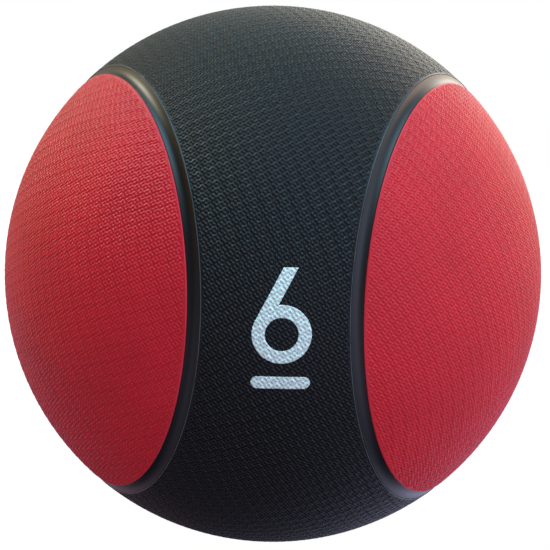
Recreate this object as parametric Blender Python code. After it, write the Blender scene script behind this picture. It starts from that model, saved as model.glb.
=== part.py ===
"""Rubber medicine ball, 240 mm across: an inflated bladder in a thick weighted
rubber wall, under a moulded cover of black rubber with three round red panels.

Frame: the origin is the ball's centre. +Z runs up through the valve, -Y is the
front, midway between the left and right red panels, and +X is the front view's
right. Lengths are in metres; the constants below are in millimetres and degrees.

From the middle outwards: bladder, wound thread, two weighted half shells, then
one outer skin made up of the black cover, three red panels and three seam strips.
"""

import math

import bmesh
import bpy
from mathutils import Vector

MM = 0.001

# The outer skin
BALL_RADIUS = 120.0
SKIN_THICKNESS = 2.5
SKIN_INNER_RADIUS = BALL_RADIUS - SKIN_THICKNESS
PANEL_ANGLE = 45.0  # from a red panel's centre to its edge, seen from the ball's centre
PANEL_EASE_ANGLE = 0.6  # the eased outer edge of a panel: its width
PANEL_EASE_DROP = 0.5  # and its depth
PANEL_LONGITUDES = {"left": 210.0, "right": 330.0, "back": 90.0}  # from +X, seen from above
WINDOW_ANGLE = 47.5  # from a panel's centre to the edge of the black cover's window

# The seam strip between a panel and the cover, with a sunken channel in its face
STRIP_GAP_ANGLE = 0.15  # about 0.3 mm at the surface, on each side of the strip
STRIP_EDGE_DROP = 0.5
STRIP_FLOOR_DROP = 1.3

# The layers under the skin, as outer and inner radius
WEIGHT_LAYER = (116.6, 92.0)
WINDING_LAYER = (91.0, 89.6)
BLADDER = (88.8, 87.2)
HALF_SHELL_GAP = 0.3

# The valve housing, on +Z
STEM_RADIUS = 5.0
STEM_TOP = 119.2
STEM_EASE = 0.5  # at the top, on both rims
BORE_RADIUS = 2.9
BORE_EASE_DROP = 0.4
FLANGE_RADIUS = 12.0
FLANGE_TOP = 86.0  # where it meets the stem
FLANGE_EDGE_DROP = 0.8  # the flange's top slopes down this far to its edge
FLANGE_BOTTOM = 83.6

# The holes around the stem
LAYER_HOLE_RADIUS = STEM_RADIUS + 0.3
COVER_HOLE_RADIUS = STEM_RADIUS + 0.4

# The plug in the valve's bore
PLUG_TOP = 118.4
PLUG_BOTTOM = 92.0
PLUG_RADIUS = 2.5
PLUG_HEAD_RADIUS = 2.6
PLUG_HEAD_LENGTH = 2.5
PLUG_HEAD_BEVEL = 0.3
PLUG_SHOULDER_LENGTH = 0.2  # from the head down to the body
PLUG_TIP_LENGTH = 1.5
PLUG_TIP_RADIUS = PLUG_RADIUS * 0.6
DIMPLE_RADIUS = 1.2  # the needle's lead-in
DIMPLE_FLOOR_RADIUS = 0.35
DIMPLE_DEPTH = 1.6

# The boolean cutters run well past the skin
WINDOW_CUTTER_TOP = BALL_RADIUS * 1.2
HOLE_CUTTER_BOTTOM = BALL_RADIUS * 0.8
HOLE_CUTTER_TOP = BALL_RADIUS * 1.1

# How finely the round shapes are cut around their axis
SEAM_SEGMENTS = 60
LAYER_SEGMENTS = 40
VALVE_SEGMENTS = 48

# How finely the profiles are cut
PANEL_OUTER_STEPS = 7
PANEL_INNER_STEPS = 4
STRIP_STEPS = 4
WEIGHT_OUTER_STEPS = 8
WEIGHT_INNER_STEPS = 6
ROUND_LAYER_STEPS = 12

# Squares along each side of the cover's cube-based spheres
COVER_GRID = 23  # odd, so that each pole has one flat square facet
COVER_GRID_INSIDE = 11

SMOOTH_ANGLE = 30.0  # edges that bend more than this are shaded sharp


# Scene, materials and objects

def clear_scene():
    for obj in list(bpy.data.objects):
        bpy.data.objects.remove(obj, do_unlink=True)


def rubber(name, colour, roughness):
    """A Principled BSDF material."""
    mat = bpy.data.materials.new(name)
    mat.use_nodes = True
    bsdf = mat.node_tree.nodes["Principled BSDF"]
    bsdf.inputs["Base Color"].default_value = (*colour, 1.0)
    bsdf.inputs["Roughness"].default_value = roughness
    mat.diffuse_color = (*colour, 1.0)
    return mat


def link_object(name, bm):
    """A new scene object that takes over the bmesh."""
    mesh = bpy.data.meshes.new(name)
    bm.to_mesh(mesh)
    bm.free()
    obj = bpy.data.objects.new(name, mesh)
    bpy.context.scene.collection.objects.link(obj)
    return obj


def add_piece(name, bm, mat, frame):
    """A visible piece of the ball."""
    obj = link_object(name, bm)
    obj.data.materials.append(mat)
    obj.data.shade_smooth()
    obj.data.set_sharp_from_angle(angle=math.radians(SMOOTH_ANGLE))
    obj.parent = frame
    return obj


def cut_away(piece, name, bm):
    """Subtracts a hidden cutter from the piece with a live boolean, and returns the cutter."""
    cutter = link_object(f"cut_{name}", bm)
    cutter.hide_render = True
    cutter.display_type = "WIRE"
    boolean = piece.modifiers.new(name, "BOOLEAN")
    boolean.operation = "DIFFERENCE"
    boolean.object = cutter
    return cutter


def face_longitude(obj, longitude):
    """Turns an object built about +Z to lie on the equator at this longitude."""
    obj.rotation_euler = (0.0, math.radians(90.0), math.radians(longitude))


# Profiles: points of (distance from the axis, height)

def polar_point(radius, angle):
    """The point at this angle from the axis, seen from the ball's centre."""
    return (radius * math.sin(math.radians(angle)), radius * math.cos(math.radians(angle)))


def arc(radius, start, end, steps):
    """Points along a circle about the ball's centre, from one angle to another."""
    return [polar_point(radius, start + (end - start) * i / steps) for i in range(steps + 1)]


def hole_angle(radius, hole_radius):
    """The angle from the axis at which a sphere meets a round hole along that axis."""
    return math.degrees(math.asin(hole_radius / radius))


def half_shell_angle(radius):
    """The angle from the pole to a half shell's rim, half the gap short of the equator."""
    return math.degrees(math.acos(HALF_SHELL_GAP / 2.0 / radius))


# Solids

def turned(profile, segments, closed=False):
    """A solid turned about Z.

    A profile that starts and ends on the axis stays open; any other is closed."""
    bm = bmesh.new()
    verts = [bm.verts.new((x * MM, 0.0, z * MM)) for x, z in profile]
    edges = [bm.edges.new(pair) for pair in zip(verts, verts[1:])]
    if closed:
        edges.append(bm.edges.new((verts[-1], verts[0])))
    bmesh.ops.spin(
        bm,
        geom=verts + edges,
        cent=(0.0, 0.0, 0.0),
        axis=(0.0, 0.0, 1.0),
        angle=2.0 * math.pi,
        steps=segments,
        use_merge=True,
    )
    # Each point on the axis is left as a ring of doubles
    bmesh.ops.remove_doubles(bm, verts=bm.verts, dist=1e-6)
    bmesh.ops.recalc_face_normals(bm, faces=bm.faces)
    return bm


def add_sphere_grid(bm, radius, squares, inward=False):
    """A cube's six faces in squares x squares, pushed out onto a sphere at equal angles."""
    corners = bmesh.ops.create_cube(bm, size=2.0)["verts"]
    edges = list({edge for vert in corners for edge in vert.link_edges})
    bmesh.ops.subdivide_edges(bm, edges=edges, cuts=squares - 1, use_grid_fill=True)
    # The new cube reaches 1 m from the centre, and any earlier sphere only its own radius
    fresh = [vert for vert in bm.verts if max(abs(c) for c in vert.co) > 0.5]
    for vert in fresh:
        direction = Vector(math.tan(c * math.pi / 4.0) for c in vert.co).normalized()
        vert.co = direction * radius * MM
    if inward:
        faces = list({face for vert in fresh for face in vert.link_faces})
        bmesh.ops.reverse_faces(bm, faces=faces)


# The outer skin

def window_cone():
    """A cone with its tip at the ball's centre, so a window's wall runs towards the centre."""
    profile = [
        (0.0, 0.0),
        (WINDOW_CUTTER_TOP * math.tan(math.radians(WINDOW_ANGLE)), WINDOW_CUTTER_TOP),
        (0.0, WINDOW_CUTTER_TOP),
    ]
    return turned(profile, SEAM_SEGMENTS)


def valve_hole_cylinder():
    profile = [
        (0.0, HOLE_CUTTER_BOTTOM),
        (COVER_HOLE_RADIUS, HOLE_CUTTER_BOTTOM),
        (COVER_HOLE_RADIUS, HOLE_CUTTER_TOP),
        (0.0, HOLE_CUTTER_TOP),
    ]
    return turned(profile, VALVE_SEGMENTS)


def build_cover(mat, frame):
    """One hollow shell with three round windows and the valve hole."""
    bm = bmesh.new()
    add_sphere_grid(bm, BALL_RADIUS, COVER_GRID)
    add_sphere_grid(bm, SKIN_INNER_RADIUS, COVER_GRID_INSIDE, inward=True)
    cover = add_piece("cover_black", bm, mat, frame)
    for side, longitude in PANEL_LONGITUDES.items():
        cutter = cut_away(cover, f"window_{side}", window_cone())
        face_longitude(cutter, longitude)
    cut_away(cover, "valve_hole", valve_hole_cylinder())


def build_panel(side, longitude, mat, frame):
    """A round piece of the sphere, with its outer edge eased."""
    profile = arc(BALL_RADIUS, 0.0, PANEL_ANGLE - PANEL_EASE_ANGLE, PANEL_OUTER_STEPS)
    profile.append(polar_point(BALL_RADIUS - PANEL_EASE_DROP, PANEL_ANGLE))
    profile += arc(SKIN_INNER_RADIUS, PANEL_ANGLE, 0.0, PANEL_INNER_STEPS)
    panel = add_piece(f"panel_red_{side}", turned(profile, SEAM_SEGMENTS), mat, frame)
    face_longitude(panel, longitude)


def build_strip(side, longitude, mat, frame):
    """The ring between a panel and the cover, its face hollowed along half a sine wave."""
    start = PANEL_ANGLE + STRIP_GAP_ANGLE
    end = WINDOW_ANGLE - STRIP_GAP_ANGLE
    channel_depth = STRIP_FLOOR_DROP - STRIP_EDGE_DROP
    profile = []
    for i in range(STRIP_STEPS + 1):
        t = i / STRIP_STEPS
        radius = BALL_RADIUS - STRIP_EDGE_DROP - channel_depth * math.sin(math.pi * t)
        profile.append(polar_point(radius, start + (end - start) * t))
    profile += arc(SKIN_INNER_RADIUS, end, start, 1)
    ring = turned(profile, SEAM_SEGMENTS, closed=True)
    strip = add_piece(f"seam_strip_{side}", ring, mat, frame)
    face_longitude(strip, longitude)


# The layers under the skin

def build_weight_upper(mat, frame):
    """The upper half of the thick wall, bored for the valve."""
    outer, inner = WEIGHT_LAYER
    outer_hole = hole_angle(outer, LAYER_HOLE_RADIUS)
    inner_hole = hole_angle(inner, LAYER_HOLE_RADIUS)
    profile = arc(outer, outer_hole, half_shell_angle(outer), WEIGHT_OUTER_STEPS)
    profile += arc(inner, half_shell_angle(inner), inner_hole, WEIGHT_INNER_STEPS)
    shell = turned(profile, LAYER_SEGMENTS, closed=True)
    add_piece("weight_layer_upper", shell, mat, frame)


def build_weight_lower(mat, frame):
    """The lower half of the thick wall."""
    outer, inner = WEIGHT_LAYER
    profile = arc(outer, 180.0, 180.0 - half_shell_angle(outer), WEIGHT_OUTER_STEPS)
    profile += arc(inner, 180.0 - half_shell_angle(inner), 180.0, WEIGHT_INNER_STEPS)
    add_piece("weight_layer_lower", turned(profile, LAYER_SEGMENTS), mat, frame)


def build_round_layer(name, radii, mat, frame):
    """A whole hollow sphere with one round opening for the valve stem."""
    outer, inner = radii
    profile = arc(outer, 180.0, hole_angle(outer, LAYER_HOLE_RADIUS), ROUND_LAYER_STEPS)
    profile += arc(inner, hole_angle(inner, LAYER_HOLE_RADIUS), 180.0, ROUND_LAYER_STEPS)
    add_piece(name, turned(profile, LAYER_SEGMENTS), mat, frame)


# The valve

def build_valve_housing(mat, frame):
    """The stem through every layer, with its flange inside the bladder."""
    profile = [
        (BORE_RADIUS, STEM_TOP - BORE_EASE_DROP),
        (BORE_RADIUS + STEM_EASE, STEM_TOP),
        (STEM_RADIUS - STEM_EASE, STEM_TOP),
        (STEM_RADIUS, STEM_TOP - STEM_EASE),
        (STEM_RADIUS, FLANGE_TOP),
        (FLANGE_RADIUS, FLANGE_TOP - FLANGE_EDGE_DROP),
        (FLANGE_RADIUS, FLANGE_BOTTOM),
        (BORE_RADIUS, FLANGE_BOTTOM),
    ]
    housing = turned(profile, VALVE_SEGMENTS, closed=True)
    add_piece("valve_housing", housing, mat, frame)


def build_valve_plug(mat, frame):
    """The self-sealing plug in the housing's bore."""
    head_bottom = PLUG_TOP - PLUG_HEAD_LENGTH
    profile = [
        (0.0, PLUG_TOP - DIMPLE_DEPTH),
        (DIMPLE_FLOOR_RADIUS, PLUG_TOP - DIMPLE_DEPTH),
        (DIMPLE_RADIUS, PLUG_TOP),
        (PLUG_HEAD_RADIUS - PLUG_HEAD_BEVEL, PLUG_TOP),
        (PLUG_HEAD_RADIUS, PLUG_TOP - PLUG_HEAD_BEVEL),
        (PLUG_HEAD_RADIUS, head_bottom),
        (PLUG_RADIUS, head_bottom - PLUG_SHOULDER_LENGTH),
        (PLUG_RADIUS, PLUG_BOTTOM + PLUG_TIP_LENGTH),
        (PLUG_TIP_RADIUS, PLUG_BOTTOM),
        (0.0, PLUG_BOTTOM),
    ]
    add_piece("valve_plug", turned(profile, VALVE_SEGMENTS), mat, frame)


def build():
    clear_scene()
    frame = bpy.data.objects.new("ball_centre", None)
    bpy.context.scene.collection.objects.link(frame)

    black = rubber("black_rubber", colour=(0.012, 0.013, 0.015), roughness=0.55)
    red = rubber("red_rubber", colour=(0.50, 0.028, 0.050), roughness=0.5)
    seam = rubber("seam_rubber", colour=(0.008, 0.008, 0.009), roughness=0.3)
    weight = rubber("weighted_rubber", colour=(0.045, 0.043, 0.040), roughness=0.8)
    thread = rubber("nylon_thread", colour=(0.62, 0.60, 0.54), roughness=0.6)
    butyl = rubber("butyl_rubber", colour=(0.02, 0.02, 0.02), roughness=0.5)
    valve = rubber("valve_rubber", colour=(0.015, 0.015, 0.015), roughness=0.5)
    plug = rubber("plug_rubber", colour=(0.03, 0.03, 0.03), roughness=0.45)

    build_cover(black, frame)
    for side, longitude in PANEL_LONGITUDES.items():
        build_panel(side, longitude, red, frame)
        build_strip(side, longitude, seam, frame)
    build_weight_upper(weight, frame)
    build_weight_lower(weight, frame)
    build_round_layer("winding_layer", WINDING_LAYER, thread, frame)
    build_round_layer("bladder", BLADDER, butyl, frame)
    build_valve_housing(valve, frame)
    build_valve_plug(plug, frame)


build()
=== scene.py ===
"""The looks of a rubber medicine ball, built round its CAD frame.

The ball's middle is the frame's origin, +Z is up and the front is towards -Y. The valve is
at the top, three red panels have their middles on the equator, and the weight mark is
printed on the front. A black cover with a moulded net relief has a round window for each
panel, and a smooth hollow strip lies between panel and window. The layers inside keep
their CAD shapes and get their own finishes.

Angles are in degrees and small lengths in millimetres where a name ends in _DEG or _MM.
"""

import math

import bpy
import numpy as np
from mathutils import Matrix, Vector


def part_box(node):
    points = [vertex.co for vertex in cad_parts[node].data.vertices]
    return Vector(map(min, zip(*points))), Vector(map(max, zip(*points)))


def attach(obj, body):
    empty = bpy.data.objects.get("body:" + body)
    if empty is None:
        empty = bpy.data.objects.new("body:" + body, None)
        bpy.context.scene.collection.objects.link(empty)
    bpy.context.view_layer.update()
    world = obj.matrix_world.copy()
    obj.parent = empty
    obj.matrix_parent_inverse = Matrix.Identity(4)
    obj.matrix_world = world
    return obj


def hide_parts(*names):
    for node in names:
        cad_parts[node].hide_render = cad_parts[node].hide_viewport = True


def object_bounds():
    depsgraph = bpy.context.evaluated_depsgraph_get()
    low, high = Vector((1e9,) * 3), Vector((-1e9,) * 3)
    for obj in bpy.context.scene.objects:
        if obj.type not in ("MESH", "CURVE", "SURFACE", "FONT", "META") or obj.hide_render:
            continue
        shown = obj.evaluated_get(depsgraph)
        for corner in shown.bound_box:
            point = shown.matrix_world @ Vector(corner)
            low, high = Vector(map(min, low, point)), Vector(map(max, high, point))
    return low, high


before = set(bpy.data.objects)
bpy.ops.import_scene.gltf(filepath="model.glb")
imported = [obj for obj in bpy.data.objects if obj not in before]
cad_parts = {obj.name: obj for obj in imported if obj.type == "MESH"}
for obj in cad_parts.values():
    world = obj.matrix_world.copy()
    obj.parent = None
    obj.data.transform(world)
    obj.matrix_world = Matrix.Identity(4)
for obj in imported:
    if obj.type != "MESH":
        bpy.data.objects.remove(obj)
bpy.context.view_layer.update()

MM = 0.001
TURN = 2.0 * math.pi
UP = np.array([0.0, 0.0, 1.0])
FRONT = np.array([0.0, -1.0, 0.0])
SIDES = ("left", "right", "back")


# ---------------------------------------------------------------- sizes from the frame
def node_points(node):
    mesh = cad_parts[node].data
    co = np.empty(len(mesh.vertices) * 3, np.float32)
    mesh.vertices.foreach_get("co", co)
    return co.reshape(-1, 3).astype(float)


def panel_axis(side):
    """The direction from the ball's centre to the middle of a red panel, on the equator."""
    low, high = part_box(f"panel_red_{side}")
    middle = (low + high) / 2.0
    middle.z = 0.0
    return np.array(middle.normalized())


def widest_angle(node, axis):
    co = node_points(node)
    return math.degrees(math.acos(min((co @ axis) / np.linalg.norm(co, axis=1))))


AXES = {side: panel_axis(side) for side in SIDES}
PANEL_RADII = np.linalg.norm(node_points("panel_red_left"), axis=1)
R = float(PANEL_RADII.max())  # the ball's radius
SKIN = R - float(PANEL_RADII.min())  # thickness of a red panel
PANEL_DEG = round(widest_angle("panel_red_left", AXES["left"]), 1)
WINDOW_DEG = round(widest_angle("seam_strip_left", AXES["left"]) + 0.15, 1)

# ---------------------------------------------------------------- the moulded net relief
# One square repeat of the net, as a sum of cosine waves that look the same after a quarter
# turn. Each entry is (strength, h, k): the wave runs h times along the repeat and k across.
COARSE_WAVES = [(-0.45, 3, 1), (-0.3, 2, 1), (-0.4, 2, 0), (0.1, 1, 2), (-0.2, 1, 0)]
FINE_WAVES = [(-1.0, 4, 1), (0.9, 3, 3), (0.2, 4, 0)]
RELIEF_MM = 0.10  # height of a wave of strength 1
BLACK_REPEAT_MM, RED_REPEAT_MM = 5.42, 5.55
BLACK_TURN_DEG = 17.5
RED_TURN_DEG = {"left": 14.5, "right": 27.0, "back": 20.0}
RED_FINE_SHARE = 0.5  # how much of the fine waves the red panels' meshes hold themselves


def waves(u, v, terms):
    total = np.zeros_like(u)
    for strength, h, k in terms:
        total += strength * (
            np.cos(TURN * (h * u + k * v)) + np.cos(TURN * (-k * u + h * v))
        )
    return total


def smooth(x, low, high):
    t = np.clip((x - low) / (high - low), 0.0, 1.0)
    return t * t * (3.0 - 2.0 * t)


# ---------------------------------------------------------------- circles round an axis
def local_axes(axis):
    """East and north, square to an axis that is UP itself or lies on the equator."""
    if abs(axis[2]) > 0.99:
        east = np.array([1.0, 0.0, 0.0])
    else:
        east = np.cross(UP, axis)
    return east, np.cross(axis, east)


def on_circle(axis, angle_deg, azimuth, radius):
    """Points at this angle from the axis; azimuth runs counter-clockwise from local east,
    seen from outside."""
    east, north = local_axes(axis)
    angle = np.radians(angle_deg)
    ring = np.cos(azimuth)[:, None] * east + np.sin(azimuth)[:, None] * north
    return radius * (np.cos(angle) * axis + np.sin(angle) * ring)


def azimuth_of(points, axes):
    east, north = axes
    return np.arctan2(points @ north, points @ east)


def inside_angle(points, axis, angle_deg):
    return points @ axis > math.cos(math.radians(angle_deg))


# ---------------------------------------------------------------- mesh helpers
EVEN_ROUNDS = 40  # smoothing passes that space a rim's points


def grid_quads(rows, columns):
    ids = np.arange(rows * columns).reshape(rows, columns)
    corners = [ids[:-1, :-1], ids[1:, :-1], ids[1:, 1:], ids[:-1, 1:]]
    return np.stack(corners, -1).reshape(-1, 4)


def trim(quads, keep):
    """The vertices of the quads that are kept whole, and those quads renumbered."""
    used, quads = np.unique(quads[keep[quads].all(1)], return_inverse=True)
    return used, quads.reshape(-1, 4)


def rim_edges(quads):
    """The edges that only one quad uses, each in that quad's own direction."""
    edges = np.concatenate([quads[:, [i, (i + 1) % 4]] for i in range(4)])
    low, high = edges.min(1).astype(np.int64), edges.max(1).astype(np.int64)
    _, first, count = np.unique(
        low * (int(quads.max()) + 1) + high, return_index=True, return_counts=True
    )
    return edges[first[count == 1]]


def closed_rim(edges):
    """A rim's vertices, and its edges as places in that list."""
    rim = np.unique(edges)
    return rim, np.searchsorted(rim, edges)


def even_out(azimuth, loop):
    """Spaces a closed rim's azimuths evenly."""
    after = np.empty(len(azimuth), int)
    before = np.empty(len(azimuth), int)
    after[loop[:, 0]] = loop[:, 1]
    before[loop[:, 1]] = loop[:, 0]

    def wrap(x):
        return (x + math.pi) % TURN - math.pi

    for _ in range(EVEN_ROUNDS):
        pull = wrap(azimuth[after] - azimuth) + wrap(azimuth[before] - azimuth)
        azimuth = azimuth + 0.25 * pull
    return azimuth


def wall_quads(upper, lower, loop):
    start, end = loop[:, 0], loop[:, 1]
    return np.stack([upper[end], upper[start], lower[start], lower[end]], 1)


def hang_rings(axis, rim, loop, azimuth, profile, count):
    """Rings that carry on from a rim down a profile of (angle, height in mm, painted
    highlight).

    count is the first new vertex. Returns places, highlight strengths, quads and the last
    ring."""
    verts, edge_highlight, quads = [], [], []
    upper = rim
    for angle_deg, z, shine in profile:
        verts.append(on_circle(axis, angle_deg, azimuth, R + z * MM))
        edge_highlight.append(np.full(len(rim), shine))
        lower = count + np.arange(len(rim))
        count += len(rim)
        quads.append(wall_quads(upper, lower, loop))
        upper = lower
    return np.concatenate(verts), np.concatenate(edge_highlight), np.concatenate(quads), upper


def vertex_normals(verts, quads, tris):
    total = np.zeros_like(verts)
    for faces in (quads, tris):
        p = verts[faces]
        if faces.shape[1] == 4:
            normal = np.cross(p[:, 2] - p[:, 0], p[:, 3] - p[:, 1])
        else:
            normal = np.cross(p[:, 1] - p[:, 0], p[:, 2] - p[:, 0])
        for i in range(faces.shape[1]):
            for c in range(3):
                total[:, c] += np.bincount(faces[:, i], normal[:, c], len(verts))
    length = np.linalg.norm(total, axis=1)
    length[length == 0] = 1.0
    return total / length[:, None]


def flat32(data):
    return np.ascontiguousarray(data, np.float32).ravel()


def make_piece(name, verts, quads, material, tris=None, normals=None,
               stands_for=None, vectors=None, floats=None):
    """A mesh object from number arrays, riding on the ball."""
    tris = np.zeros((0, 3), int) if tris is None else tris
    mesh = bpy.data.meshes.new(name)
    mesh.vertices.add(len(verts))
    mesh.vertices.foreach_set("co", flat32(verts))
    corners = np.concatenate([quads.ravel(), tris.ravel()]).astype(np.int32)
    mesh.loops.add(len(corners))
    mesh.loops.foreach_set("vertex_index", corners)
    starts = np.concatenate(
        [np.arange(len(quads)) * 4, len(quads) * 4 + np.arange(len(tris)) * 3]
    ).astype(np.int32)
    mesh.polygons.add(len(starts))
    mesh.polygons.foreach_set("loop_start", starts)
    mesh.update(calc_edges=True)
    mesh.shade_smooth()
    for key, data in (vectors or {}).items():
        attribute = mesh.attributes.new(key, "FLOAT_VECTOR", "POINT")
        attribute.data.foreach_set("vector", flat32(data))
    for key, data in (floats or {}).items():
        attribute = mesh.attributes.new(key, "FLOAT", "POINT")
        attribute.data.foreach_set("value", flat32(data))
    if normals is not None:
        mesh.normals_split_custom_set_from_vertices(
            np.ascontiguousarray(normals, np.float32)
        )
    mesh.materials.append(material)
    obj = bpy.data.objects.new(name, mesh)
    bpy.context.scene.collection.objects.link(obj)
    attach(obj, "root")
    if stands_for:
        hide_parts(stands_for)


# ---------------------------------------------------------------- node helpers
class Graph:
    """A node tree under construction, with short names for the nodes used most."""

    def __init__(self, tree):
        self.tree = tree

    def find(self, kind):
        return next(n for n in self.tree.nodes if n.type == kind)

    def put(self, socket, value):
        if isinstance(value, bpy.types.NodeSocket):
            self.tree.links.new(value, socket)
        else:
            socket.default_value = value

    def node(self, kind, inputs=None, **settings):
        made = self.tree.nodes.new(kind)
        for key, value in settings.items():
            setattr(made, key, value)
        for key, value in (inputs or {}).items():
            self.put(made.inputs[key], value)
        return made

    def math(self, operation, *values):
        inputs = dict(enumerate(values))
        return self.node("ShaderNodeMath", inputs, operation=operation).outputs[0]

    def scale_add(self, value, factor, plus):
        """value * factor + plus"""
        return self.math("MULTIPLY_ADD", value, factor, plus)

    def vector(self, operation, first, second, out=0):
        inputs = {0: first, 1: second}
        return self.node("ShaderNodeVectorMath", inputs, operation=operation).outputs[out]

    def dot(self, first, second):
        return self.vector("DOT_PRODUCT", first, second, out=1)

    def scaled(self, vector, factor):
        inputs = {0: vector, "Scale": factor}
        return self.node("ShaderNodeVectorMath", inputs, operation="SCALE").outputs[0]

    def ramp(self, value, low, high, to_low=0.0, to_high=1.0):
        inputs = {"Value": value, "From Min": low, "From Max": high,
                  "To Min": to_low, "To Max": to_high}
        made = self.node("ShaderNodeMapRange", inputs, interpolation_type="SMOOTHSTEP")
        return made.outputs[0]

    def mix(self, factor, first, second):
        def colour(value):
            return value if isinstance(value, bpy.types.NodeSocket) else (*value, 1.0)

        inputs = {0: factor, 6: colour(first), 7: colour(second)}
        return self.node("ShaderNodeMix", inputs, data_type="RGBA").outputs[2]

    def noise(self, vector, scale, detail, roughness):
        inputs = {"Scale": scale, "Detail": detail, "Roughness": roughness, "Vector": vector}
        return self.node("ShaderNodeTexNoise", inputs).outputs["Fac"]

    def attribute(self, name, output="Fac"):
        return self.node("ShaderNodeAttribute", attribute_name=name).outputs[output]

    def place(self):
        """The point on the ball in metres, in the frame's axes."""
        return self.node("ShaderNodeTexCoord").outputs["Object"]

    def fine_waves(self, name):
        """The fine waves, from an attribute that holds u, v and the net's weight."""
        net = self.attribute(name, "Vector")
        total = 0.0
        for strength, h, k in FINE_WAVES:
            for along, across in ((h, k), (-k, h)):
                phase = self.dot(net, (TURN * along, TURN * across, 0.0))
                total = self.scale_add(self.math("COSINE", phase), strength, total)
        weight = self.node("ShaderNodeSeparateXYZ", {0: net}).outputs[2]
        return self.math("MULTIPLY", total, weight)

    def surface(self, colour, roughness, height, depth_mm, specular=0.5):
        """Feeds the material's own Principled node; height becomes bump."""
        bump = self.node("ShaderNodeBump", {
            "Strength": 1.0, "Distance": depth_mm * MM, "Height": height,
        })
        bsdf = self.find("BSDF_PRINCIPLED")
        self.put(bsdf.inputs["Base Color"], colour)
        self.put(bsdf.inputs["Roughness"], roughness)
        self.put(bsdf.inputs["Specular IOR Level"], specular)
        self.put(bsdf.inputs["Normal"], bump.outputs[0])


def new_material(name):
    mat = bpy.data.materials.new(name)
    mat.use_nodes = True
    return mat, Graph(mat.node_tree)


def tinted(colour, factor):
    return tuple(min(1.0, c * factor) for c in colour)


# ---------------------------------------------------------------- materials
def net_rubber(name, valley, ridge, edge_highlight, roughness, fine_share, blended, specular):
    """Moulded rubber with the net relief: deeper colour in the valleys, which is dirt and
    painted shade, ridges a little paler and smoother, a pale painted highlight along the
    rolled edges in patches, faint mottling, and fine_share of the fine waves as bump. A
    blended net adds the second net attribute."""
    mat, g = new_material(name)
    fine = g.fine_waves("net")
    if blended:
        fine = g.math("ADD", fine, g.fine_waves("net_b"))
    whole = g.math("ADD", fine, g.attribute("relief"))
    up = g.ramp(whole, low=-2.6, high=2.2)
    place = g.place()
    mottle = g.noise(place, scale=38.0, detail=4.0, roughness=0.55)
    grain = g.noise(place, scale=5200.0, detail=2.0, roughness=0.6)

    # Dirt and painted shade: the colour runs from the darker valley colour in the net's
    # hollows to the paler ridge colour.
    colour = g.mix(up, valley, ridge)
    shade = g.scale_add(mottle, factor=0.36, plus=0.82)
    shade = g.scale_add(g.math("SUBTRACT", grain, 0.5), factor=0.25, plus=shade)
    colour = g.scaled(colour, shade)
    # Painted highlight: a pale line along the rolled edges, broken into patches, where an edge
    # would catch the light; it is also a little glossier.
    patches = g.noise(place, scale=90.0, detail=3.0, roughness=0.6)
    patchy = g.ramp(patches, low=0.30, high=0.55, to_low=0.45, to_high=1.0)
    highlight_amount = g.math("MULTIPLY", g.attribute("edge_highlight"), patchy)
    colour = g.mix(highlight_amount, colour, edge_highlight)

    # Cloudy gloss around the given roughness, then ridges, grain and the highlighted edges on
    # top.
    cloud = g.noise(place, scale=16.0, detail=3.0, roughness=0.6)
    rough = g.scale_add(cloud, factor=0.16, plus=roughness - 0.08)
    rough = g.scale_add(up, factor=-0.06, plus=g.math("ADD", rough, 0.03))
    rough = g.scale_add(grain, factor=0.06, plus=rough)
    rough = g.scale_add(highlight_amount, factor=-0.06, plus=rough)

    if fine_share != 1.0:
        fine = g.math("MULTIPLY", fine, fine_share)
    height = g.scale_add(grain, factor=0.10, plus=fine)
    g.surface(colour, rough, height, depth_mm=RELIEF_MM, specular=specular)
    return mat


def smooth_rubber(name, colour, roughness, grain_scale=900.0, depth_mm=0.01, specular=0.5,
                  spread=0.25):
    """Plain moulded rubber: a very fine grain, faint cloudy colour and uneven gloss."""
    mat, g = new_material(name)
    place = g.place()
    cloud = g.noise(place, scale=60.0, detail=4.0, roughness=0.6)
    grain = g.noise(place, scale=grain_scale, detail=3.0, roughness=0.6)
    shade = g.scale_add(cloud, factor=2.0 * spread, plus=1.0 - spread)
    g.surface(
        colour=g.scaled(g.mix(grain, colour, tinted(colour, 1.3)), shade),
        roughness=g.scale_add(cloud, factor=0.14, plus=roughness - 0.07),
        height=grain,
        depth_mm=depth_mm,
        specular=specular,
    )
    return mat


def wound_thread(name, colour):
    """Turns of thread laid over each other in three directions, with painted shade between the
    turns.
    """
    layer_turns = ((0.5, 0.3, 0.2), (-0.4, 0.9, 1.3), (1.2, -0.5, 0.4))  # radians
    mat, g = new_material(name)
    place = g.place()
    heights = []
    for turn in layer_turns:
        turned = g.node("ShaderNodeMapping", {"Vector": place, "Rotation": turn})
        bands = g.node("ShaderNodeTexWave", {
            "Scale": 320.0, "Distortion": 1.2, "Detail": 1.0, "Vector": turned.outputs[0],
        }, wave_type="BANDS")
        heights.append(bands.outputs["Fac"])
    height = g.math("MAXIMUM", g.math("MAXIMUM", heights[0], heights[1]), heights[2])
    # Painted shade: the thread darkens to under half its colour where the bands are low,
    # between the turns.
    base = g.mix(height, tinted(colour, 0.45), colour)
    cloud = g.noise(place, scale=200.0, detail=2.0, roughness=0.5)
    rough = g.scale_add(cloud, factor=0.2, plus=0.5)
    g.surface(base, rough, height, depth_mm=0.3)
    return mat


def filled_rubber(name, colour, speck_colour):
    """Heavy filled rubber with specks of filler."""
    mat, g = new_material(name)
    place = g.place()
    cells = g.node("ShaderNodeTexVoronoi", {"Scale": 650.0, "Vector": place})
    specks = g.ramp(cells.outputs["Distance"], low=0.12, high=0.22, to_low=1.0, to_high=0.0)
    cloud = g.noise(place, scale=70.0, detail=4.0, roughness=0.6)
    base = g.mix(cloud, tinted(colour, 0.7), tinted(colour, 1.25))
    g.surface(
        colour=g.mix(specks, base, speck_colour),
        roughness=g.scale_add(cloud, factor=0.2, plus=0.68),
        height=g.math("ADD", specks, cloud),
        depth_mm=0.12,
    )
    return mat


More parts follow.
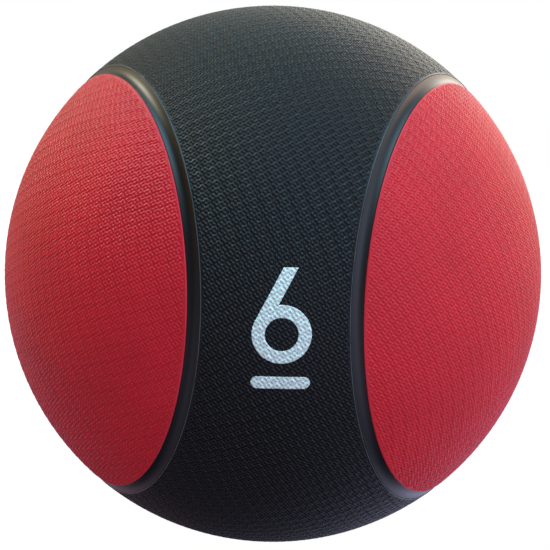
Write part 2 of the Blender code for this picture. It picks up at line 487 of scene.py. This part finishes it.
def ink(name, colour, fine_share):
    """A thin, slightly worn ink film that follows the net, painted darker in the net's valleys
    as shade.
    """
    mat, g = new_material(name)
    fine = g.fine_waves("net")
    whole = g.math("ADD", fine, g.attribute("relief"))
    up = g.ramp(whole, low=-2.8, high=1.6)
    patch = g.noise(g.place(), scale=260.0, detail=3.0, roughness=0.6)
    # Painted shade: the ink is darker in the net's valleys and paler on its ridges.
    base = g.mix(up, tinted(colour, 0.80), tinted(colour, 1.07))
    g.surface(
        colour=g.scaled(base, g.scale_add(patch, factor=0.16, plus=0.92)),
        roughness=g.scale_add(patch, factor=0.15, plus=0.42),
        height=g.math("MULTIPLY", fine, fine_share),
        depth_mm=RELIEF_MM,
    )
    return mat


# In both rubbers the valley colour holds dirt and painted shade, and the third colour is a
# pale painted highlight for the rolled edges.
BLACK = net_rubber(
    "black_cover_rubber", valley=(0.0024, 0.0026, 0.0028), ridge=(0.0065, 0.0070, 0.0076),
    edge_highlight=(0.090, 0.093, 0.097), roughness=0.28, fine_share=1.0, blended=True, specular=0.25,
)
RED = net_rubber(
    "red_panel_rubber", valley=(0.600, 0.0090, 0.018), ridge=(0.740, 0.0180, 0.032),
    edge_highlight=(0.64, 0.06, 0.08), roughness=0.34, fine_share=1.0 - RED_FINE_SHARE, blended=False,
    specular=0.26,
)
STRIP = smooth_rubber("seam_rubber", (0.0020, 0.0021, 0.0023), roughness=0.24,
                      grain_scale=1500.0, depth_mm=0.004, specular=0.4, spread=0.12)
INK = ink("weight_mark_ink", (0.82, 0.94, 0.86), fine_share=1.0)
VALVE = smooth_rubber("valve_rubber", (0.012, 0.012, 0.013), roughness=0.42)
PLUG = smooth_rubber("plug_rubber", (0.028, 0.028, 0.030), roughness=0.38)
BUTYL = smooth_rubber("butyl_rubber", (0.018, 0.018, 0.019), roughness=0.5,
                      grain_scale=400.0, depth_mm=0.03)
WEIGHT = filled_rubber("weighted_rubber", (0.045, 0.043, 0.040),
                       speck_colour=(0.16, 0.155, 0.145))
THREAD = wound_thread("nylon_thread", (0.62, 0.60, 0.54))

for node, mat in (
    ("weight_layer_upper", WEIGHT), ("weight_layer_lower", WEIGHT),
    ("winding_layer", THREAD), ("bladder", BUTYL),
    ("valve_housing", VALVE), ("valve_plug", PLUG),
):
    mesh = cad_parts[node].data
    mesh.materials.clear()
    mesh.materials.append(mat)

# ---------------------------------------------------------------- the black cover
GRID_SQUARES = 380  # along each side of the cube that the cover's grid starts from
INSIDE_SQUARES = 44  # the same for its plain inner side
COVER_MM = 2.3  # thickness of the cover
HOLE_MM = 5.4  # radius of the valve hole
HOLE_START_MM = HOLE_MM + 1.1  # where the netted skin stops round the valve hole
RING_MM = (8.2, 10.2)  # distances from the valve's middle over which the net comes in
EDGE_DEG = 0.16  # where the netted skin stops, past a window's edge
LIP_FADE_DEG = (EDGE_DEG, 0.50)  # past a window's edge, where the net comes in
INSIDE_GAP_DEG = 0.8  # from an opening's foot to the inner side's grid
CUT_DEG = 51.0  # latitude of the cuts below the top piece and above the bottom piece

# The rear nets lie past this angle either side of the front, and give way to the front
# net between these latitudes.
REAR_FROM_DEG = 60.0
REAR_FADE_DEG = (44.8, 47.0)
REAR_RIGHT, REAR_LEFT = (
    np.array([math.cos(math.radians(lon)), math.sin(math.radians(lon)), 0.0])
    for lon in (30.0, 150.0)
)

# The rolled lip of a window: (degrees past WINDOW_DEG, height in mm, strength of the painted
# highlight).
WINDOW_LIP = [
    (0.10, 0.040, 0.0), (0.05, 0.110, 0.3), (0.0, 0.150, 1.0), (-0.05, 0.140, 1.0),
    (-0.09, 0.090, 0.8), (-0.12, 0.0, 0.2), (-0.14, -0.12, 0.0), (-0.15, -0.45, 0.0),
    (-0.13, -COVER_MM, 0.0),
]
# The rolled edge of the valve hole: (radius in mm, height in mm, strength of the painted
# highlight).
HOLE_EDGE = [
    (HOLE_MM + 0.75, 0.0, 0.0), (HOLE_MM + 0.40, -0.06, 0.6), (HOLE_MM + 0.15, -0.22, 0.6),
    (HOLE_MM, -0.55, 0.0), (HOLE_MM, -COVER_MM, 0.0),
]


def strip_lattice(points, axis):
    """Net coordinates, in repeats, on a band that runs from pole to pole past this axis."""
    x = R * np.arcsin(np.clip(points @ np.cross(UP, axis), -1.0, 1.0))
    y = R * np.arctan2(points @ UP, points @ axis)
    turn = math.radians(BLACK_TURN_DEG)
    step = BLACK_REPEAT_MM * MM
    u = (np.cos(turn) * x + np.sin(turn) * y) / step
    v = (-np.sin(turn) * x + np.cos(turn) * y) / step
    return u, v


def lat_lon(unit):
    lat = np.degrees(np.arcsin(np.clip(unit[:, 2], -1.0, 1.0)))
    lon = np.degrees(np.arctan2(unit[:, 1], unit[:, 0]))
    return lat, lon


def cover_net(points):
    """(u, v, weight) of the front net and of the rear nets, and the coarse relief."""
    p = points / np.linalg.norm(points, axis=1)[:, None]
    lat, lon = lat_lon(p)
    rear = (np.abs((lon + 90.0 + 180.0) % 360.0 - 180.0) > REAR_FROM_DEG).astype(float)
    rear *= 1.0 - smooth(np.abs(lat), *REAR_FADE_DEG)
    front = 1.0 - rear

    # The net dies out at the windows and the valve.
    edge = np.ones(len(p))
    for side in SIDES:
        angle = np.degrees(np.arccos(np.clip(p @ AXES[side], -1.0, 1.0)))
        edge *= smooth(angle - WINDOW_DEG, *LIP_FADE_DEG)
    edge *= smooth(R / MM * np.arccos(np.clip(p[:, 2], -1.0, 1.0)), *RING_MM)

    u, v = strip_lattice(p, FRONT)
    on_right = (lon > -90.0) & (lon < 90.0)
    right_u, right_v = strip_lattice(p, REAR_RIGHT)
    left_u, left_v = strip_lattice(p, REAR_LEFT)
    rear_u = np.where(on_right, right_u, left_u)
    rear_v = np.where(on_right, right_v, left_v)
    size = np.sqrt(front**2 + rear**2)
    front, rear = front / size * edge, rear / size * edge
    coarse = front * waves(u, v, COARSE_WAVES) + rear * waves(rear_u, rear_v, COARSE_WAVES)
    return np.stack([u, v, front], 1), np.stack([rear_u, rear_v, rear], 1), coarse


def cube_sphere(squares):
    """Unit points and outward quads of a cube grid with equal angles, faces joined."""
    side = squares + 1
    t = np.tan(np.linspace(-math.pi / 4, math.pi / 4, side))
    a, b = np.meshgrid(t, t, indexing="ij")
    face_quads = grid_quads(side, side)
    points, quads = [], []
    for axis in range(3):
        for sign in (-1.0, 1.0):
            c = [None] * 3
            c[axis], c[(axis + 1) % 3], c[(axis + 2) % 3] = sign * np.ones_like(a), a, b
            turned = face_quads if sign > 0 else face_quads[:, ::-1]
            quads.append(turned + len(points) * side**2)
            points.append(np.stack([x.ravel() for x in c], 1))
    points, quads = np.concatenate(points), np.concatenate(quads)

    # One whole number for each place, so that points on the cube's edges merge.
    key = np.round(points * 1e7).astype(np.int64) + 2 * 10**7
    key = (key[:, 0] * 4 * 10**7 + key[:, 1]) * 4 * 10**7 + key[:, 2]
    _, first, inverse = np.unique(key, return_index=True, return_inverse=True)
    points = points[first]
    return points / np.linalg.norm(points, axis=1)[:, None], inverse.ravel()[quads]


def open_sphere(squares, circles):
    """A cube grid's unit points and quads, less those inside the (axis, angle) circles."""
    points, quads = cube_sphere(squares)
    keep = np.ones(len(points), bool)
    for axis, angle_deg in circles:
        keep &= ~inside_angle(points, axis, angle_deg)
    used, quads = trim(quads, keep)
    return points[used], quads


def zip_rings(ring, ring_az, other, other_az):
    """Triangles between two rings round one axis, whatever their counts; they face the
    ball's middle."""
    ring, ring_az = ring[np.argsort(np.mod(ring_az, TURN))], np.sort(np.mod(ring_az, TURN))
    other = other[np.argsort(np.mod(other_az, TURN))]
    other_az = np.sort(np.mod(other_az, TURN))
    ring_az = np.append(ring_az, ring_az[0] + TURN)
    other_az = np.append(other_az, other_az[0] + TURN)
    n, m = len(ring), len(other)
    i = j = 0
    tris = []
    while i < n or j < m:
        if j == m or (i < n and ring_az[i + 1] <= other_az[j + 1]):
            tris.append((ring[i], ring[(i + 1) % n], other[j % m]))
            i += 1
        else:
            tris.append((ring[i % n], other[(j + 1) % m], other[j]))
            j += 1
    return np.array(tris)


def cover_inside(feet, count):
    """The cover's plain inner side, on the sphere that its openings' feet lie on.

    count is its first vertex; feet are (axis, angle, vertices, azimuths)."""
    circles = [(axis, angle + INSIDE_GAP_DEG) for axis, angle, _, _ in feet]
    points, quads = open_sphere(INSIDE_SQUARES, circles)
    quads = quads[:, ::-1]
    edges = rim_edges(quads)
    radius = R - COVER_MM * MM
    verts, tris = points * radius, []
    for axis, angle, foot, foot_az in feet:
        near = inside_angle(points[edges[:, 0]], axis, angle + 5.0)
        rim, loop = closed_rim(edges[near])
        axes = on_circle(axis, 90.0, np.array([0.0, math.pi / 2.0]), 1.0)
        rim_az = even_out(azimuth_of(points[rim], axes), loop)
        verts[rim] = on_circle(axis, angle + INSIDE_GAP_DEG, rim_az, radius)
        tris.append(zip_rings(foot, foot_az, rim + count, rim_az))
    return verts, quads + count, np.concatenate(tris)


def cover_openings():
    """(axis, angle where the netted skin stops, edge profile) of the windows and the hole."""

    def hole_angle(radius_mm, z):
        return math.degrees(math.asin(radius_mm / (R / MM + z)))

    lip = [(WINDOW_DEG + past, z, shine) for past, z, shine in WINDOW_LIP]
    hole = [(hole_angle(radius_mm, z), z, shine) for radius_mm, z, shine in HOLE_EDGE]
    windows = [(AXES[side], WINDOW_DEG + EDGE_DEG, lip) for side in SIDES]
    return windows + [(UP, hole_angle(HOLE_START_MM, 0.0), hole)]


def cover_zone(verts, faces):
    """0 to 2 for the front, right and left sectors, 3 for the top and 4 for the bottom."""
    middle = verts[faces].mean(1)
    middle /= np.linalg.norm(middle, axis=1)[:, None]
    lat, lon = lat_lon(middle)
    sector = ((lon + 90.0 + 60.0) % 360.0 // 120.0).astype(int)
    return np.where(lat > CUT_DEG, 3, np.where(lat < -CUT_DEG, 4, sector))


def build_cover():
    openings = cover_openings()
    points, skin_quads = open_sphere(GRID_SQUARES, [opening[:2] for opening in openings])
    skin = len(points)
    edges = rim_edges(skin_quads)
    verts, edge_highlight, quads = [points * R], [np.zeros(skin)], [skin_quads]
    count, feet = skin, []
    for axis, start, profile in openings:
        near = inside_angle(points[edges[:, 0]], axis, start + 1.5)
        rim, loop = closed_rim(edges[near])
        azimuth = even_out(azimuth_of(points[rim], local_axes(axis)), loop)
        verts[0][rim] = on_circle(axis, start, azimuth, R)
        ring_verts, ring_highlight, walls, foot = hang_rings(
            axis, rim, loop, azimuth, profile, count
        )
        verts.append(ring_verts)
        edge_highlight.append(ring_highlight)
        quads.append(walls)
        count += len(ring_verts)
        feet.append((axis, profile[-1][0], foot, azimuth))
    inside, inside_quads, tris = cover_inside(feet, count)
    verts = np.concatenate(verts + [inside])
    edge_highlight = np.concatenate(edge_highlight + [np.zeros(len(inside))])
    quads = np.concatenate(quads + [inside_quads])

    # Only the outer skin carries the relief.
    front_net, rear_net, coarse = cover_net(verts)
    front_net[count:, 2] = rear_net[count:, 2] = 0.0
    coarse[skin:] = 0.0
    outward = verts[:skin] / np.linalg.norm(verts[:skin], axis=1)[:, None]
    verts[:skin] += outward * (coarse[:skin] * RELIEF_MM * MM)[:, None]
    normals = vertex_normals(verts, quads, tris)

    # Five pieces, which share their edge points and normals.
    quad_zone, tri_zone = cover_zone(verts, quads), cover_zone(verts, tris)
    for i, name in enumerate(("front", "rear_right", "rear_left", "top", "bottom")):
        own, own_tris = quads[quad_zone == i], tris[tri_zone == i]
        corners = np.concatenate([own.ravel(), own_tris.ravel()])
        used, place = np.unique(corners, return_inverse=True)
        place = place.ravel()
        make_piece(
            f"cover_black_{name}", verts[used], place[: own.size].reshape(-1, 4),
            tris=place[own.size:].reshape(-1, 3), normals=normals[used],
            material=BLACK, stands_for="cover_black",
            vectors={"net": front_net[used], "net_b": rear_net[used]},
            floats={"relief": coarse[used], "edge_highlight": edge_highlight[used]},
        )


# ---------------------------------------------------------------- the red panels
RED_STEPS = 9.8  # grid squares along one repeat of the net
# Inside PANEL_DEG: where the net starts to die out, and where the netted face stops.
RED_FADE_DEG, RED_EDGE_DEG = 0.50, 0.20
# The rounded rim and the wall: (degrees past PANEL_DEG, height in mm, strength of the painted
# highlight).
RED_RIM = [
    (-0.13, -0.025, 0.2), (-0.07, -0.075, 0.7), (-0.025, -0.17, 0.9), (0.0, -0.32, 0.3),
    (0.02, -0.60, 0.0), (0.0, -SKIN / MM + 0.05, 0.0),
]
# Rings of the underside, in degrees past PANEL_DEG.
UNDERSIDE_DEG = (-0.3, -5.0, -10.0, -15.0, -20.0, -25.0, -30.0, -35.0, -40.0)
UNDERSIDE_SKIP = 8  # one point in eight of the wall's foot carries on to the middle


def panel_face(side):
    """The netted face: places, net coordinates, coarse relief, quads, and the rim's
    vertices, edges and azimuths."""
    axis = AXES[side]
    east, north = local_axes(axis)
    step = RED_REPEAT_MM * MM / RED_STEPS
    reach = math.radians(PANEL_DEG - RED_EDGE_DEG) * R
    half = int(reach / step) + 1
    i = np.arange(-half, half + 1)
    a, b = np.meshgrid(i, i, indexing="ij")
    a, b = a.ravel() * step, b.ravel() * step
    used, quads = trim(grid_quads(len(i), len(i)), np.hypot(a, b) <= reach)
    a, b = a[used], b[used]
    turn = math.radians(RED_TURN_DEG[side])
    cos, sin = math.cos(turn), math.sin(turn)
    x, y = cos * a - sin * b, sin * a + cos * b
    far, az = np.hypot(x, y) / R, np.arctan2(y, x)

    rim, loop = closed_rim(rim_edges(quads))
    rim_az = even_out(az[rim], loop)
    az[rim], far[rim] = rim_az, reach / R
    ring = np.cos(az)[:, None] * east + np.sin(az)[:, None] * north
    unit = np.cos(far)[:, None] * axis + np.sin(far)[:, None] * ring
    x, y = R * far * np.cos(az), R * far * np.sin(az)
    u = (cos * x + sin * y) / (RED_REPEAT_MM * MM)
    v = (-sin * x + cos * y) / (RED_REPEAT_MM * MM)
    fade = smooth(np.degrees(far), PANEL_DEG - RED_FADE_DEG, PANEL_DEG - RED_EDGE_DEG)
    weight = 1.0 - fade
    coarse = weight * waves(u, v, COARSE_WAVES)
    lift = coarse + RED_FINE_SHARE * weight * waves(u, v, FINE_WAVES)
    face = unit * (R + lift * RELIEF_MM * MM)[:, None]
    return face, np.stack([u, v, weight], 1), coarse, quads, (rim, loop, rim_az)


def panel_underside(axis, foot, foot_az, count):
    """Places, quads and triangles from the wall's foot to the middle."""
    order = np.argsort(np.mod(foot_az, TURN))
    foot = foot[order]
    azimuth = foot_az[order[::UNDERSIDE_SKIP]]
    n, m = len(foot), len(azimuth)
    i, j = np.arange(n), np.arange(m)
    after = (j + 1) % m
    ring = count + j
    next_foot = foot[np.minimum(UNDERSIDE_SKIP * (j + 1), n) % n]
    tris = [
        np.stack([foot[(i + 1) % n], foot, ring[i // UNDERSIDE_SKIP]], 1),
        np.stack([next_foot, ring, ring[after]], 1),
    ]
    verts = [on_circle(axis, PANEL_DEG + past, azimuth, R - SKIN) for past in UNDERSIDE_DEG]
    quads = []
    for _ in UNDERSIDE_DEG[1:]:
        quads.append(np.stack([ring[after], ring, ring + m, ring[after] + m], 1))
        ring = ring + m
    verts.append((axis * (R - SKIN))[None, :])
    tris.append(np.stack([ring[after], ring, np.full(m, ring[-1] + 1)], 1))
    return np.concatenate(verts), np.concatenate(quads), np.concatenate(tris)


def build_panel(side):
    axis = AXES[side]
    face, face_net, coarse, quads, (rim, loop, rim_az) = panel_face(side)
    profile = [(PANEL_DEG + past, z, shine) for past, z, shine in RED_RIM]
    wall, wall_highlight, walls, foot = hang_rings(axis, rim, loop, rim_az, profile, len(face))
    under, under_quads, tris = panel_underside(axis, foot, rim_az, len(face) + len(wall))
    verts = np.concatenate([face, wall, under])
    net = np.zeros((len(verts), 3))
    net[: len(face)] = face_net
    net[len(face):, :2] = 0.25
    relief, edge_highlight = np.zeros(len(verts)), np.zeros(len(verts))
    relief[: len(face)] = coarse
    edge_highlight[len(face): len(face) + len(wall)] = wall_highlight
    make_piece(
        f"panel_red_{side}_skin", verts, np.concatenate([quads, walls, under_quads]),
        tris=tris, material=RED, stands_for=f"panel_red_{side}",
        vectors={"net": net}, floats={"relief": relief, "edge_highlight": edge_highlight},
    )


# ---------------------------------------------------------------- the seam strips
STRIP_STEPS = 30  # across the hollow
STRIP_TURNS = 540  # round the panel
STRIP_FLOOR_STEPS = 4
STRIP_START_DEG, STRIP_END_DEG = PANEL_DEG + 0.07, WINDOW_DEG - 0.17
STRIP_RED_MM, STRIP_LIP_MM = 0.60, 0.10  # depths below the ball's surface at the two edges
STRIP_HOLLOW_MM = 0.60  # extra depth midway
STRIP_LIP_WALL_MM, STRIP_RED_WALL_MM = 0.6, 1.2  # depths of one more point on each wall


def strip_drop(t):
    """Depth in mm below the ball's surface, from the red edge (t 0) to the lip (t 1)."""
    slope = STRIP_RED_MM * (1.0 - t) + STRIP_LIP_MM * t
    return slope + STRIP_HOLLOW_MM * math.sin(math.pi * t)


def strip_profile():
    """The closed section as (angle, height in mm)."""
    start, end, floor = STRIP_START_DEG, STRIP_END_DEG, -SKIN / MM
    hollow = [
        (start + (end - start) * i / STRIP_STEPS, -strip_drop(i / STRIP_STEPS))
        for i in range(STRIP_STEPS + 1)
    ]
    base = [
        (end + (start - end) * i / STRIP_FLOOR_STEPS, floor)
        for i in range(STRIP_FLOOR_STEPS + 1)
    ]
    return hollow + [(end, -STRIP_LIP_WALL_MM)] + base + [(start, -STRIP_RED_WALL_MM)]


def build_strip(side):
    profile = strip_profile()
    azimuth = np.arange(STRIP_TURNS) * TURN / STRIP_TURNS
    verts = np.concatenate(
        [on_circle(AXES[side], angle, azimuth, R + z * MM) for angle, z in profile]
    )
    k, m = len(profile), STRIP_TURNS
    i, j = np.meshgrid(np.arange(k), np.arange(m), indexing="ij")
    i, j = i.ravel(), j.ravel()
    next_i, next_j = (i + 1) % k, (j + 1) % m
    quads = np.stack([i * m + j, next_i * m + j, next_i * m + next_j, i * m + next_j], 1)
    make_piece(f"seam_strip_{side}_channel", verts, quads, material=STRIP,
               stands_for=f"seam_strip_{side}")


# ---------------------------------------------------------------- the printed weight mark
# Lengths in mm from the mark's middle, x to the right and y up.
MARK_LON_DEG, MARK_LAT_DEG = 1.1, -3.2  # the mark's middle, from the front's own axis
MARK_STEP_MM = 0.22  # grid step
MARK_MARGIN_MM = 1.0  # grid kept round the shape
MARK_LIFT_MM, MARK_RIM_LIFT_MM, MARK_SUNK_MM = 0.075, 0.045, 0.22
OUTLINE_ROUNDS, OUTLINE_REACH_MM, SLOPE_STEP_MM = 6, 0.12, 0.02

SIX_RING_Y, SIX_RADIUS, SIX_STROKE = -1.5, 10.5, 4.6
SIX_TOP, SIX_LEAN_DEG = 22.0, 27.0
BAR_Y, BAR_HALF, BAR_RADIUS = -19.2, 8.2, 2.3  # BAR_HALF reaches to the round ends' middles


def six(x, y):
    """A round ring and a straight slanted stem that touches its left side; negative inside."""
    y_ring = y - SIX_RING_Y
    away = np.hypot(x, y_ring)
    ring = np.maximum(away - SIX_RADIUS, SIX_RADIUS - SIX_STROKE - away)
    lean = math.radians(SIX_LEAN_DEG)
    dx, dy = math.sin(lean), math.cos(lean)
    across = -x * dy + y_ring * dx
    along = x * dx + y_ring * dy
    half = SIX_STROKE / 2.0
    stem = np.abs(across - (SIX_RADIUS - half)) - half
    stem = np.maximum(stem, np.maximum(-along, y - SIX_TOP))
    return np.minimum(ring, stem)


def underline(x, y):
    """A bar with round ends, which tells the figure from a nine; negative inside."""
    return np.hypot(x - np.clip(x, -BAR_HALF, BAR_HALF), y - BAR_Y) - BAR_RADIUS


def slide_to_outline(field, x, y):
    """Moves points near a field's zero line onto it."""
    h = SLOPE_STEP_MM
    for _ in range(OUTLINE_ROUNDS):
        slope_x = (field(x + h, y) - field(x - h, y)) / (2 * h)
        slope_y = (field(x, y + h) - field(x, y - h)) / (2 * h)
        steepness = np.maximum(slope_x * slope_x + slope_y * slope_y, 0.25)
        shift = np.clip(field(x, y) / steepness, -OUTLINE_REACH_MM, OUTLINE_REACH_MM)
        x, y = x - shift * slope_x, y - shift * slope_y
    return x, y


def lay_on_ball(x, y, lift):
    """Places over the cover's relief, lifted by mm, with the net and coarse relief there."""
    lon, lat = math.radians(-90.0 + MARK_LON_DEG), math.radians(MARK_LAT_DEG)
    middle = np.array(
        [math.cos(lat) * math.cos(lon), math.cos(lat) * math.sin(lon), math.sin(lat)]
    )
    east = np.cross(UP, middle)
    east /= np.linalg.norm(east)
    north = np.cross(middle, east)
    far, az = np.hypot(x, y) * MM / R, np.arctan2(y, x)
    ring = np.cos(az)[:, None] * east + np.sin(az)[:, None] * north
    unit = np.cos(far)[:, None] * middle + np.sin(far)[:, None] * ring
    net, _, coarse = cover_net(unit)
    return unit * (R + (coarse * RELIEF_MM + lift)[:, None] * MM), net, coarse


def build_glyph(name, field, low, high):
    xs, ys = (
        np.arange(low[i] - MARK_MARGIN_MM, high[i] + MARK_MARGIN_MM, MARK_STEP_MM)
        for i in range(2)
    )
    x, y = np.meshgrid(xs, ys, indexing="ij")
    x, y = x.ravel(), y.ravel()
    used, quads = trim(grid_quads(len(xs), len(ys)), field(x, y) <= 0.0)
    x, y = x[used], y[used]
    edges = rim_edges(quads)
    rim = np.unique(edges)
    x[rim], y[rim] = slide_to_outline(field, x[rim], y[rim])

    lift = np.full(len(x), MARK_LIFT_MM)
    lift[rim] = MARK_RIM_LIFT_MM
    top, net, coarse = lay_on_ball(x, y, lift)
    bottom, _, _ = lay_on_ball(x, y, -MARK_SUNK_MM)
    ids = np.arange(len(top))
    walls = wall_quads(ids, ids + len(top), edges)
    make_piece(
        name, np.concatenate([top, bottom]),
        np.concatenate([quads, quads[:, ::-1] + len(top), walls]),
        material=INK,
        vectors={"net": np.concatenate([net, net])},
        floats={"relief": np.concatenate([coarse, coarse])},
    )


build_cover()
for side in SIDES:
    build_panel(side)
    build_strip(side)
build_glyph("weight_mark_figure", six,
            low=(-SIX_RADIUS, SIX_RING_Y - SIX_RADIUS), high=(SIX_RADIUS, SIX_TOP))
build_glyph("weight_mark_underline", underline,
            low=(-BAR_HALF - BAR_RADIUS, BAR_Y - BAR_RADIUS),
            high=(BAR_HALF + BAR_RADIUS, BAR_Y + BAR_RADIUS))

# ---------------------------------------------------------------- floor, light and camera
FLOOR_RADIUS, FLOOR_GAP = 6.0, 0.0004  # the gap is below the ball's lowest point
WHITE = (1.0, 1.0, 1.0, 1.0)

# Soft studio light as broad patches of the surroundings: direction in the camera's own
# axes (right, up, towards the camera), tightness, and colour.
LIGHTS = [
    ((0.0, 0.95, 0.3), 9.0, (2.7, 5.0, 6.2)),  # overhead, a little in front: broad and cool
    ((-0.65, 0.7, -0.25), 45.0, (8.2, 7.8, 6.0)),  # upper left: small and warm
    ((0.4, 0.5, -0.75), 14.0, (2.9, 2.8, 2.5)),  # above, behind right
    ((0.8, 0.4, -0.5), 14.0, (1.9, 1.35, 0.95)),  # right, behind: warm
    ((-0.85, 0.3, -0.42), 12.0, (0.6, 0.46, 0.14)),  # left, behind: orange
    ((-0.95, 0.25, 0.1), 6.0, (0.25, 0.12, 0.03)),  # left: warm
    ((0.52, -0.46, -0.72), 14.0, (0.8, 0.8, 1.2)),  # low, behind right: cool
    ((-0.35, 0.35, -0.87), 7.0, (0.26, 0.28, 0.26)),  # behind left
    ((-0.68, -0.14, -0.72), 12.0, (0.65, 0.4, 0.6)),  # behind left, lower
    ((0.87, 0.28, 0.38), 5.0, (1.2, 1.4, 1.8)),  # right, in front: cool
    ((0.55, -0.55, 0.63), 6.0, (0.8, 0.7, 1.05)),  # low right, in front: cool
    ((-0.75, -0.54, 0.4), 6.0, (0.42, 0.42, 0.6)),  # low left: cool
    ((0.0, 0.1, 1.0), 3.0, (0.1, 0.12, 0.12)),  # fill from beside the camera
]
AMBIENT = (0.015, 0.015, 0.015)

CAMERA_AZIMUTH_DEG, CAMERA_HEIGHT_DEG, CAMERA_ROLL_DEG = 0.6, 6.2, -1.4
CAMERA_DISTANCE = 3.9  # in ball radii
SENSOR_MM, LENS_MM = 36.0, 66.120973
SHIFT_X, SHIFT_Y = 0.003781818, -0.002309091  # as shares of the sensor's width


def build_floor():
    low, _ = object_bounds()
    bpy.ops.mesh.primitive_circle_add(
        vertices=96, radius=FLOOR_RADIUS, fill_type="NGON",
        location=(0.0, 0.0, low.z - FLOOR_GAP),
    )
    floor = bpy.context.object
    floor.name = "studio_floor"
    mat, g = new_material("pale_floor")
    bsdf = g.find("BSDF_PRINCIPLED")
    bsdf.inputs["Base Color"].default_value = (0.9, 0.9, 0.9, 1.0)
    bsdf.inputs["Roughness"].default_value = 0.9
    # Mostly glow with a tenth of plain surface, and clear from below.
    glow = g.node("ShaderNodeEmission", {"Color": WHITE, "Strength": 1.1})
    blend = g.node("ShaderNodeMixShader", {0: 0.10, 1: glow.outputs[0], 2: bsdf.outputs[0]})
    under = g.node("ShaderNodeNewGeometry").outputs["Backfacing"]
    clear = g.node("ShaderNodeBsdfTransparent")
    see = g.node("ShaderNodeMixShader", {0: under, 1: blend.outputs[0], 2: clear.outputs[0]})
    g.put(g.find("OUTPUT_MATERIAL").inputs["Surface"], see.outputs[0])
    floor.data.materials.append(mat)
    floor.visible_diffuse = False
    floor.visible_glossy = False
    floor.visible_transmission = False
    floor.visible_shadow = False


def camera_axes():
    """Right, up and back of the camera, in the frame's axes."""
    yaw, pitch, roll = (
        math.radians(d) for d in (CAMERA_AZIMUTH_DEG, CAMERA_HEIGHT_DEG, CAMERA_ROLL_DEG)
    )
    about_x = np.array([[1, 0, 0],
                        [0, math.cos(pitch), -math.sin(pitch)],
                        [0, math.sin(pitch), math.cos(pitch)]])
    about_y = np.array([[math.cos(yaw), 0, math.sin(yaw)],
                        [0, 1, 0],
                        [-math.sin(yaw), 0, math.cos(yaw)]])
    about_z = np.array([[math.cos(roll), -math.sin(roll), 0],
                        [math.sin(roll), math.cos(roll), 0],
                        [0, 0, 1]])
    return [np.array([row[0], -row[2], row[1]]) for row in about_z @ about_x @ about_y]


def build_camera():
    right, up, back = camera_axes()
    data = bpy.data.cameras.new("camera")
    data.sensor_width = SENSOR_MM
    data.lens = LENS_MM
    data.shift_x, data.shift_y = SHIFT_X, SHIFT_Y
    data.clip_start, data.clip_end = 0.01, 100.0
    cam = bpy.data.objects.new("camera", data)
    place = back * CAMERA_DISTANCE * R
    rows = [(right[i], up[i], back[i], place[i]) for i in range(3)]
    cam.matrix_world = Matrix(rows + [(0.0, 0.0, 0.0, 1.0)])
    bpy.context.scene.collection.objects.link(cam)
    bpy.context.scene.camera = cam


def build_light():
    """The light patches for everything but the camera, which sees plain white."""
    right, up, back = camera_axes()
    world = bpy.data.worlds.new("studio")
    bpy.context.scene.world = world
    world.use_nodes = True
    g = Graph(world.node_tree)
    lit = g.find("BACKGROUND")
    direction = g.node("ShaderNodeTexCoord").outputs["Generated"]
    total = None
    for towards, tight, colour in LIGHTS:
        aim = towards[0] * right + towards[1] * up + towards[2] * back
        aim = aim / np.linalg.norm(aim)
        near = g.dot(direction, tuple(float(c) for c in aim))
        amount = g.math("EXPONENT", g.scale_add(near, factor=tight, plus=-tight))
        part = g.scaled(colour, amount)
        total = part if total is None else g.vector("ADD", total, part)
    total = g.vector("ADD", total, AMBIENT)
    g.put(lit.inputs["Color"], total)
    lit.inputs["Strength"].default_value = 1.0
    plain = g.node("ShaderNodeBackground", {"Color": WHITE, "Strength": 1.0})
    seen = g.node("ShaderNodeLightPath").outputs["Is Camera Ray"]
    choose = g.node("ShaderNodeMixShader", {0: seen, 1: lit.outputs[0], 2: plain.outputs[0]})
    g.put(g.find("OUTPUT_WORLD").inputs["Surface"], choose.outputs[0])


build_floor()
build_light()
build_camera()
bpy.context.scene.view_settings.view_transform = "Standard"
